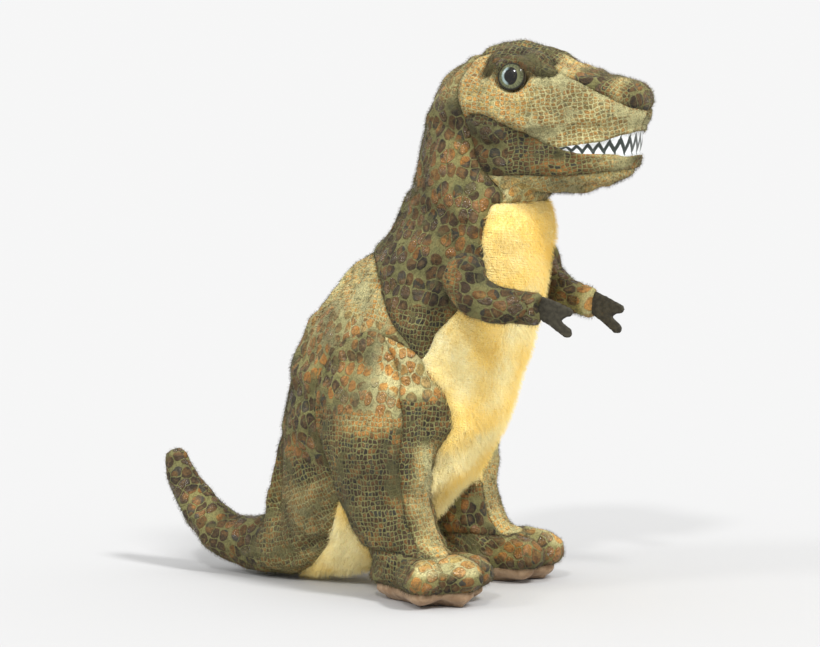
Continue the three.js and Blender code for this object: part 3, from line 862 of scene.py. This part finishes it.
def yellow_plush():
    """Yellow knitted plush with short tufts, deeper in colour on the chest, with painted shade in the knit's
    grooves and between the tufts and painted highlights on the raised fluff.
    """
    g = Graph("Yellow plush")
    flat = g.node("UVMap", uv_map="Flat").outputs["UV"]
    wander = g.noise(flat, 160.0, 2.0, output="Color")
    at = g.vector("ADD", flat, g.vector("SCALE", wander, 0.0016))
    axis = g.node("SeparateXYZ", {0: at})
    row = g.math("SINE", g.math("MULTIPLY", axis.outputs[1], 2 * math.pi / (1.35 * MM)))
    column = g.math("SINE", g.math("MULTIPLY", axis.outputs[0], 2 * math.pi / (1.6 * MM)))
    knit = g.scaled(g.scaled(column, 0.35, row), 0.37, 0.5)
    fluff = g.noise(flat, 900.0, 3.0)
    cloudy = g.noise(flat, 35.0, 3.0)
    tuft = g.noise(at, 620.0, 2.0)
    colour = g.mix(g.step(0.3, 0.7, cloudy), (1.0, 0.77, 0.24), (1.0, 0.91, 0.52))
    # Painted shade: darker between the tufts, where the bump sinks.
    colour = g.mix(g.times(g.step(0.52, 0.32, tuft), 0.28), colour, (0.82, 0.56, 0.16))
    above = g.node("SeparateXYZ", {0: g.node("TexCoord").outputs["Object"]}).outputs[2]
    colour = g.mix(g.times(g.step(0.15, 0.19, above), 0.45), colour, (1.0, 0.70, 0.12))
    # Painted shade: darker in the knit's grooves, where the bump sinks.
    colour = g.mix(g.times(g.step(0.42, 0.05, knit), 0.16), colour, (0.52, 0.31, 0.07))
    # Painted highlight: paler on the raised fluff.
    colour = g.mix(g.times(g.step(0.5, 0.75, fluff), 0.4), colour, (0.98, 0.86, 0.50))
    height = g.math("ADD", g.times(knit, 0.4), g.times(fluff, 0.6))
    height = g.scaled(tuft, 1.6, height)
    bump = g.node("Bump", {"Height": height, "Strength": 0.8, "Distance": 0.0010})
    return g.principled(
        {
            "Base Color": colour,
            "Roughness": 0.9,
            "Specular IOR Level": 0.15,
            "Sheen Weight": 0.25,
            "Normal": bump.outputs["Normal"],
        }
    )


def mottled(name, colour, other, scale, rough=0.9, depth=0.0005, sheen=0.1):
    """A mottled material, such as felt, suede, loose fibre or moulded plastic."""
    g = Graph(name)
    place = g.node("TexCoord").outputs["Object"]
    mottle = g.noise(place, scale, 4.0, "3D")
    fibre = g.noise(place, scale * 6, 3.0, "3D")
    height = g.math("ADD", fibre, g.times(mottle, 0.5))
    bump = g.node("Bump", {"Height": height, "Strength": 0.6, "Distance": depth})
    return g.principled(
        {
            "Base Color": g.mix(g.step(0.35, 0.65, mottle), colour, other),
            "Roughness": rough,
            "Sheen Weight": sheen,
            "Normal": bump.outputs["Normal"],
        }
    )


def painted_eye():
    """An olive iris with an upright pupil and a dark rim, with a pale crescent beside the pupil that is a painted
    reflection, under a hard clear gloss.
    """
    g = Graph("Painted eye")
    face = g.node("UVMap", uv_map="Face").outputs["UV"]
    flat = g.vector("SUBTRACT", face, (0.5, 0.5, 0))
    reach = g.length(flat)
    axis = g.node("SeparateXYZ", {0: flat})
    angle = g.math("ARCTAN2", axis.outputs[1], axis.outputs[0])
    spoke = g.node("CombineXYZ", {0: g.times(angle, 5.0), 1: g.times(reach, 3.0)})
    streak = g.noise(spoke.outputs[0], 2.2, 4.0)
    iris = g.mix(g.step(0.35, 0.7, streak), (0.065, 0.075, 0.035), (0.16, 0.17, 0.085))
    iris = g.mix(g.step(0.20, 0.40, reach), (0.17, 0.175, 0.08), iris)
    slit = g.length(g.vector("MULTIPLY", flat, (1.22, 0.92, 1.0)))
    colour = g.mix(g.step(0.305, 0.280, slit), iris, (0.006, 0.006, 0.005))
    colour = g.mix(g.step(0.415, 0.455, reach), colour, (0.012, 0.011, 0.008))
    # Painted reflection: a pale crescent beside the pupil stands in for the light's reflection in the dome.
    ring = g.length(g.vector("SUBTRACT", flat, (0.02, 0.0, 0.0)))
    painted_reflection = g.times(g.step(0.245, 0.275, ring), g.step(0.37, 0.325, ring))
    painted_reflection = g.times(painted_reflection, g.step(-0.04, -0.17, axis.outputs[0]), 0.8)
    return g.principled(
        {
            "Base Color": g.mix(painted_reflection, colour, (0.32, 0.43, 0.43)),
            "Roughness": 0.3,
            "Specular IOR Level": 0.1,
            "Coat Weight": 0.5,
            "Coat Roughness": 0.05,
        }
    )


def satin_teeth():
    """White satin with a printed zigzag of dark gaps between the teeth. U runs along the mouth
    in metres and V from the lower lip to the upper."""
    g = Graph("Printed satin")
    strip = g.node("UVMap", uv_map="Teeth").outputs["UV"]
    at = g.node("SeparateXYZ", {0: strip})
    along, across = at.outputs[0], at.outputs[1]
    wave = g.math("PINGPONG", g.times(along, 1000.0 / 6.2), 0.5)
    line = g.scaled(wave, 1.06, 0.24)
    wobble = g.scaled(g.noise(strip, 60.0, 2.0), 0.12, -0.06)
    gap = g.math("ABSOLUTE", g.math("SUBTRACT", across, g.math("ADD", line, wobble)))
    colour = g.mix(g.step(0.25, 0.17, gap), (0.78, 0.80, 0.79), (0.018, 0.026, 0.020))
    return g.principled({"Base Color": colour, "Roughness": 0.38, "Sheen Weight": 0.2})


SCALES = scale_plush()
YELLOW = yellow_plush()
EYE = painted_eye()
SATIN = satin_teeth()
SUEDE = mottled("Brown suede", (0.30, 0.185, 0.10), (0.42, 0.285, 0.17), 260)
FELT = mottled("Charcoal felt", (0.026, 0.022, 0.013), (0.050, 0.044, 0.027), 420, sheen=0.0)
FIBRE = mottled("Loose fibre", (0.8, 0.78, 0.74), (0.9, 0.89, 0.86), 90, depth=0.001)
LINING = mottled("Cotton lining", (0.62, 0.58, 0.5), (0.7, 0.66, 0.58), 200)
HARD = {"rough": 0.4, "depth": 0.0001}
PLASTIC = mottled("White plastic", (0.72, 0.72, 0.7), (0.78, 0.78, 0.76), 60, **HARD)
PAINT = mottled("Olive eye paint", (0.16, 0.2, 0.09), (0.24, 0.28, 0.14), 500, **HARD)


# ---- zones of the print ----
def band(x, middle, half):
    return np.exp(-(((x - middle) / half) ** 2))


def zone_colours(name, at):
    """Large scales, paleness and orange, for a piece's points in millimetres."""
    x, y, z = (at / MM).T
    big, pale, orange, full = 0.5, 0.2, 0.3, 1.0
    if "shoulder" in name:
        low, top = smoothstep(172, 150, z), smoothstep(254, 272, z)
        big = 1.0 - 0.75 * low - 0.55 * top
        pale = -0.06 + 0.60 * top + 0.16 * band(z, 235, 14) + 0.1 * band(z, 205, 16)
        rows = band(x, 56, 10) * band(z, 196, 12)
        orange = 0.37 + 0.18 * band(z, 225, 26) + 0.3 * rows - 0.2 * top
    elif "back_and_tail" in name:
        tail = smoothstep(-66, -92, x)
        top = smoothstep(146, 172, z)
        ovals = band(z, 128, 26)
        low = smoothstep(74, 52, z)
        big = 0.30 + 0.65 * ovals + 0.45 * band(z, 82, 12) - 0.5 * top - 0.25 * low
        big = big * (1 - tail) + 0.95 * tail
        pale = 0.12 + 0.90 * top + 0.40 * band(z, 142, 20) + 0.34 * low
        full = 1.0 - 0.32 * band(z, 132, 24) * (1 - tail)
        pale = pale * (1 - tail) + 0.12 * tail
        orange = 0.30 + 0.48 * band(z, 136, 22) + 0.25 * band(z, 78, 12)
        orange = orange * (1 - tail) + 0.38 * tail
    elif "leg_outer" in name:
        upper = smoothstep(88, 122, z)
        front = smoothstep(4, 20, x)
        big = 0.15 + 0.85 * upper
        pale = 0.0 + 0.36 * band(z, 96, 10) + 0.30 * upper * front + 0.34 * upper
        full = 1.0 - 0.30 * upper
        orange = 0.28 + 0.40 * band(z, 98, 13) + 0.20 * upper * front + 0.22 * upper
    elif "leg_front" in name:
        edge = smoothstep(60, 51, np.abs(y))
        big = 0.15 + 0.75 * smoothstep(100, 118, z)
        pale = 0.12 + 0.50 * edge * smoothstep(94, 78, z) + 0.50 * smoothstep(100, 118, z)
        full = 1.0 - 0.30 * smoothstep(100, 118, z)
        orange = 0.30 + 0.35 * smoothstep(92, 112, z)
    elif "leg_inner" in name:
        big, pale = 0.35 + 0.4 * smoothstep(50, 30, z), 0.12 + 0.2 * smoothstep(40, 80, z)
        orange = 0.62
    elif "foot_top" in name:
        front = smoothstep(38, 54, x)
        cap = front * smoothstep(14, 22, z)
        big = 0.45 + 0.3 * front
        outer = smoothstep(44, 58, np.abs(y))
        pale = 0.06 + (0.34 + 0.44 * outer) * cap
        orange = 0.34 + 0.22 * front
    elif "face" in name:
        big = 0.02 + 0.25 * band(x, 116, 16) * band(z, 252, 8)
        muzzle = smoothstep(82, 100, x)
        pale = 1.10 - 0.34 * muzzle
        orange = 0.60 - 0.36 * muzzle
        full = 1.0 - 0.46 * muzzle
    elif "crown" in name:
        fore = band(x, 106, 9)
        tip = smoothstep(136, 143, x)
        big = 0.05 + 0.90 * band(x, 119, 10) + 0.5 * tip
        pale = 0.06 + 0.85 * fore + 0.50 * band(x, 134, 6) + 0.4 * smoothstep(70, 56, x)
        orange = 0.10 + 0.50 * fore + 0.3 * tip
    elif "brow" in name:
        big, pale, orange, full = 0.40, 0.12, 0.38, 0.85
    elif "cheek" in name:
        back = smoothstep(84, 68, x)
        big = 0.20 + 0.75 * back * smoothstep(262, 250, z)
        pale = -0.32 + 0.72 * smoothstep(100, 122, x) * smoothstep(148, 138, x)
        orange = 0.22 + 0.33 * smoothstep(80, 94, x)
        full = 1 - 0.35 * smoothstep(250, 258, z) * smoothstep(90, 76, x)
    elif "chin" in name:
        big, pale = 0.35 + 0.4 * smoothstep(96, 84, x), 0.62
    elif "arm_" in name:
        cuff = smoothstep(88, 96, x) if "left" in name else 0.0
        shoulder = smoothstep(68, 60, x)
        big = 0.95 - 0.5 * shoulder
        pale = -0.10 + 0.65 * cuff + 0.10 * shoulder
        orange = 0.38 + 0.35 * shoulder + 0.2 * cuff
    _, *channels = np.broadcast_arrays(x, big, (pale + 0.5) / 1.5, orange, full)
    return np.clip(np.column_stack(channels), 0, 1)


def paint_zones(obj, name):
    mesh = obj.data
    layer = mesh.color_attributes.new("Zone", "FLOAT_COLOR", "POINT")
    colours = zone_colours(name, read_points(mesh))
    layer.data.foreach_set("color", colours.astype(np.float32).ravel())


def teeth_map(obj, strip_seams, points):
    """Runs U along the mouth, from its middle, and V from the lower lip to the upper."""
    mesh = obj.data
    middles = points[strip_seams[:, :2]].mean(1)
    jaw = [label_of(f"{n}_cloth") for n in ("chin_panel", "cheek_panel_right", "cheek_panel_left")]
    chin_side = np.isin(strip_seams[:, 2:], jaw).any(1)
    lower, upper = point_tree(middles[chin_side]), point_tree(middles[~chin_side])
    at = read_points(mesh)
    low = np.array([lower.find(p)[2] for p in at])
    high = np.array([upper.find(p)[2] for p in at])
    across = low / np.maximum(low + high, 1e-6)
    lip = middles[~chin_side]
    angle = np.arctan2(lip[:, 1], lip[:, 0] - 110 * MM)
    order = np.argsort(angle)
    bins = np.linspace(angle.min(), angle.max(), 60)
    path = np.column_stack([np.interp(bins, angle[order], lip[order, k]) for k in range(3)])
    steps = np.linalg.norm(np.diff(path, axis=0), axis=1)
    length = np.concatenate([[0], np.cumsum(steps)])
    length -= np.interp(0, bins, length)
    along = np.interp(np.arctan2(at[:, 1], at[:, 0] - 110 * MM), bins, length)
    layer = mesh.uv_layers.new(name="Teeth")
    uv = np.column_stack([along, across])[read_corners(mesh)]
    layer.data.foreach_set("uv", uv.ravel())


# ---- pieces ----
def upwards(at):
    return at[:, 2]


def forwards(at):
    return at[:, 0]


WAD_INSET = 3.6 * MM
EYE_RADIUS = 7.5 * MM
EYE_HEIGHT = 3.9 * MM
EYE_BACK = -1.2 * MM
EYE_SUNK = 2.9 * MM


def fit_to_frame(obj, name):
    """Makes a piece of cloth follow its body, or, for the pieces round the neck and the tail's root, leaves it
    where it is.
    """
    if "shoulder" in name or name == "belly_panel_cloth":
        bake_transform(obj)
    elif "back_and_tail" in name or name == "rump_panel_cloth":
        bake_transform(obj)
    elif PANELS[name][0] in BODIES["head"]:
        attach(obj, "head")
    else:
        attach(obj, "torso")


def dress_panel(number, name):
    """One of the body's panels, as a piece of cloth."""
    piece = cut_piece(body, labels, number, name)
    on_head = PANELS[name][0] in BODIES["head"]
    flat_map(piece, forwards if on_head else upwards)
    if name == "teeth_strip_cloth":
        look, slot = SATIN, "printed_satin"
        teeth_map(piece, seams_of(name), read_points(body.data))
    elif name in ("belly_panel_cloth", "rump_panel_cloth"):
        look, slot = YELLOW, "yellow_plush"
    elif "foot_sole" in name:
        look, slot = SUEDE, "suede"
    else:
        look, slot = SCALES, "scale_plush"
        paint_zones(piece, name)
    piece.data.materials.append(look)
    if look is YELLOW:
        grow_pile(piece, **YELLOW_PILE, seed=number)
    elif "brow" in name:
        grow_pile(piece, **BROW_PILE, seed=number)
    elif look is SCALES:
        grow_pile(piece, **PRINT_PILE, seed=number)
    thicken(piece)
    fit_to_frame(piece, name)
    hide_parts(*PANELS[name])


def dress_arm(side):
    """The arm's two cloth panels, which meet along its top and bottom."""
    nodes = [n for n in BODIES[f"{side}_arm"] if "claws" not in n]
    panels = [n for n in nodes if "_panel_" in n]
    groups = [[n] for n in panels]
    skin = remeshed(f"arm_skin_{side}", [cad_triangles(nodes)[:2]], 2.0 * MM)
    points, edges = read_points(skin.data), read_edges(skin.data)
    write_points(skin.data, smooth_points(points, edges, 16))
    seams = seam_edges(skin.data, face_labels(skin.data, panels, groups))
    held = seam_distance(read_points(skin.data), seams) < 1.5 * MM
    puffed(skin, held, 1.2 * MM, 0.4 * MM)
    subdivided(skin)
    labels = face_labels(skin.data, panels, groups)
    seams = seam_edges(skin.data, labels)
    edges = read_edges(skin.data)
    write_points(skin.data, straighten_seams(read_points(skin.data), edges, seams))
    points, normals = read_points(skin.data), read_normals(skin.data)
    crease, relief = soft_detail(points, seam_distance(points, seams))
    write_points(skin.data, points + normals * (relief - 0.45 * crease)[:, None] * MM)
    for number, node in enumerate(panels):
        piece = cut_piece(skin, labels, number, f"{node}_cloth")
        flat_map(piece, forwards)
        paint_zones(piece, node)
        piece.data.materials.append(SCALES)
        grow_pile(piece, **ARM_PILE)
        thicken(piece, 1.0 * MM)
        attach(piece, f"{side}_arm")
        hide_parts(node)
    bpy.data.objects.remove(skin)


def fill_with_fibre(node, body_name):
    """The wad of fibre inside a skin, drawn in from the cloth so that it stays hidden."""
    wad = remeshed(f"{node}_wad", [cad_triangles([node])[:2]], 3.5 * MM)
    points, edges = read_points(wad.data), read_edges(wad.data)
    write_points(wad.data, smooth_points(points, edges, 8))
    points, normals = read_points(wad.data), read_normals(wad.data)
    tree = BVHTree.FromObject(wad, bpy.context.evaluated_depsgraph_get())
    thick = np.empty(len(points))
    for i, (p, n) in enumerate(zip(points, normals)):
        hit = tree.ray_cast(Vector(p - n * 0.05 * MM), Vector(-n))
        thick[i] = hit[3] if hit[0] is not None else 0
    depth = np.minimum(WAD_INSET, 0.38 * thick)
    write_points(wad.data, smooth_points(points - normals * depth[:, None], edges, 3))
    look, slot = (LINING, "bean_lining") if "bean" in node else (FIBRE, "fibrefill")
    wad.data.materials.append(look)
    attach(wad, body_name)
    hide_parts(node)


def dress_hand(side):
    """The felt hand: two curved claws cut from thick felt, with rounded edges."""
    node = f"hand_claws_{side}"
    hand = remeshed(f"felt_hand_{side}", [cad_triangles([node])[:2]], 0.9 * MM)
    points = smooth_points(read_points(hand.data), read_edges(hand.data), 6)
    write_points(hand.data, points)
    fuzz = value_noise(points, 1.6 * MM, 5) * 0.22 * MM
    write_points(hand.data, points + read_normals(hand.data) * fuzz[:, None])
    hand.data.materials.append(FELT)
    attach(hand, f"{side}_arm")
    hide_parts(node)


def make_eye(side):
    """A domed plastic eye, glossy, with an iris and an upright pupil."""
    rings, around = 22, 48
    circle = [2 * math.pi * k / around for k in range(around)]
    verts, uvs, faces = [(0, 0, EYE_HEIGHT)], [(0.5, 0.5)], []

    def add_ring(radius, level, on_face):
        for a in circle:
            verts.append((radius * math.cos(a), radius * math.sin(a), level))
            uvs.append((0.5 + 0.5 * on_face * math.cos(a), 0.5 + 0.5 * on_face * math.sin(a)))

    for ring in range(1, rings + 1):
        t = ring / rings
        add_ring(EYE_RADIUS * t, EYE_HEIGHT * math.sqrt(1 - (0.93 * t) ** 2), t)
    add_ring(0.94 * EYE_RADIUS, EYE_BACK, 1)
    for k in range(around):
        n = (k + 1) % around
        faces.append((0, 1 + k, 1 + n))
        for ring in range(rings):
            a = 1 + ring * around
            faces.append((a + k, a + around + k, a + around + n, a + n))
    faces.append(tuple(1 + rings * around + k for k in reversed(range(around))))
    eye = new_object(f"glass_eye_{side}", verts, faces)
    layer = eye.data.uv_layers.new(name="Face")
    for loop in eye.data.loops:
        layer.data[loop.index].uv = uvs[loop.vertex_index]
    centre, facing, upright = eye_pose(side)
    turn = Matrix((upright.cross(facing), upright, facing)).transposed().to_4x4()
    eye.data.transform(Matrix.Translation(centre - facing * EYE_SUNK) @ turn)
    eye.data.materials.append(EYE)
    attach(eye, "head")
    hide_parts(f"eye_lens_{side}", f"eye_iris_disc_{side}")


for number, name in enumerate(panel_names):
    dress_panel(number, name)
bpy.data.objects.remove(body)
for side in SIDES:
    dress_arm(side)
    dress_hand(side)
    make_eye(side)
for body_name, nodes in BODIES.items():
    for node in nodes:
        if "stuffing" in node or "bean_bag" in node:
            fill_with_fibre(node, body_name)

# The CAD solids themselves.
CAD_LOOKS = {
    "stuffing": FIBRE,
    "bean_bag": LINING,
    "washer": PLASTIC,
    "eye_iris": PAINT,
    "claws": FELT,
}
for name, obj in NODES.items():
    obj.data.materials.clear()
    look = next((look for word, look in CAD_LOOKS.items() if word in name), SCALES)
    obj.data.materials.append(look)


# ---- studio ----
def direction(azimuth, elevation):
    """From the toy towards a lamp or the camera, for angles in degrees."""
    a, e = math.radians(azimuth), math.radians(elevation)
    return Vector((math.sin(a) * math.cos(e), -math.cos(a) * math.cos(e), math.sin(e)))


def place(name, data, at, away):
    """An object at a point, that looks back along a direction."""
    obj = bpy.data.objects.new(name, data)
    obj.location = at
    obj.rotation_euler = (-away).to_track_quat("-Z", "Y").to_euler()
    bpy.context.scene.collection.objects.link(obj)
    return obj


def studio():
    """A pale floor that runs into a pale sky, and three suns."""
    half, level = 60, -0.0004
    corners = [(x * half, y * half, level) for x, y in ((-1, -1), (1, -1), (1, 1), (-1, 1))]
    floor = new_object("studio_floor", corners, [(0, 1, 2, 3)], smooth=False)
    paper = {"Base Color": (0.54, 0.54, 0.54, 1), "Roughness": 0.9, "Specular IOR Level": 0.0}
    floor.data.materials.append(Graph("Pale floor").principled(paper))
    world = bpy.data.worlds.new("Studio")
    world.use_nodes = True
    sky = world.node_tree.nodes["Background"]
    sky.inputs["Color"].default_value = (1, 1, 1, 1)
    sky.inputs["Strength"].default_value = 0.92
    bpy.context.scene.world = world
    bpy.context.scene.view_settings.view_transform = "Standard"
    lamps = (
        ("key_light", 64, 48, 2.1, 11),
        ("front_light", 14, 42, 0.9, 5),
        ("fill_light", -36, 32, 0.6, 12),
    )
    for name, azimuth, elevation, power, width in lamps:
        away = direction(azimuth, elevation)
        data = bpy.data.lights.new(name, "SUN")
        data.angle = math.radians(width)
        data.energy = power
        place(name, data, away * 2, away)


def camera():
    """The photo's view, from the right of the toy's front."""
    away = direction(26, 5.6)
    target = Vector((5.36, 2.0, 144.53)) * MM
    data = bpy.data.cameras.new("camera")
    data.lens = 176
    data.sensor_width = 36
    data.clip_end = 30
    bpy.context.scene.camera = place("camera", data, target + away * 2.2, away)


studio()
camera()
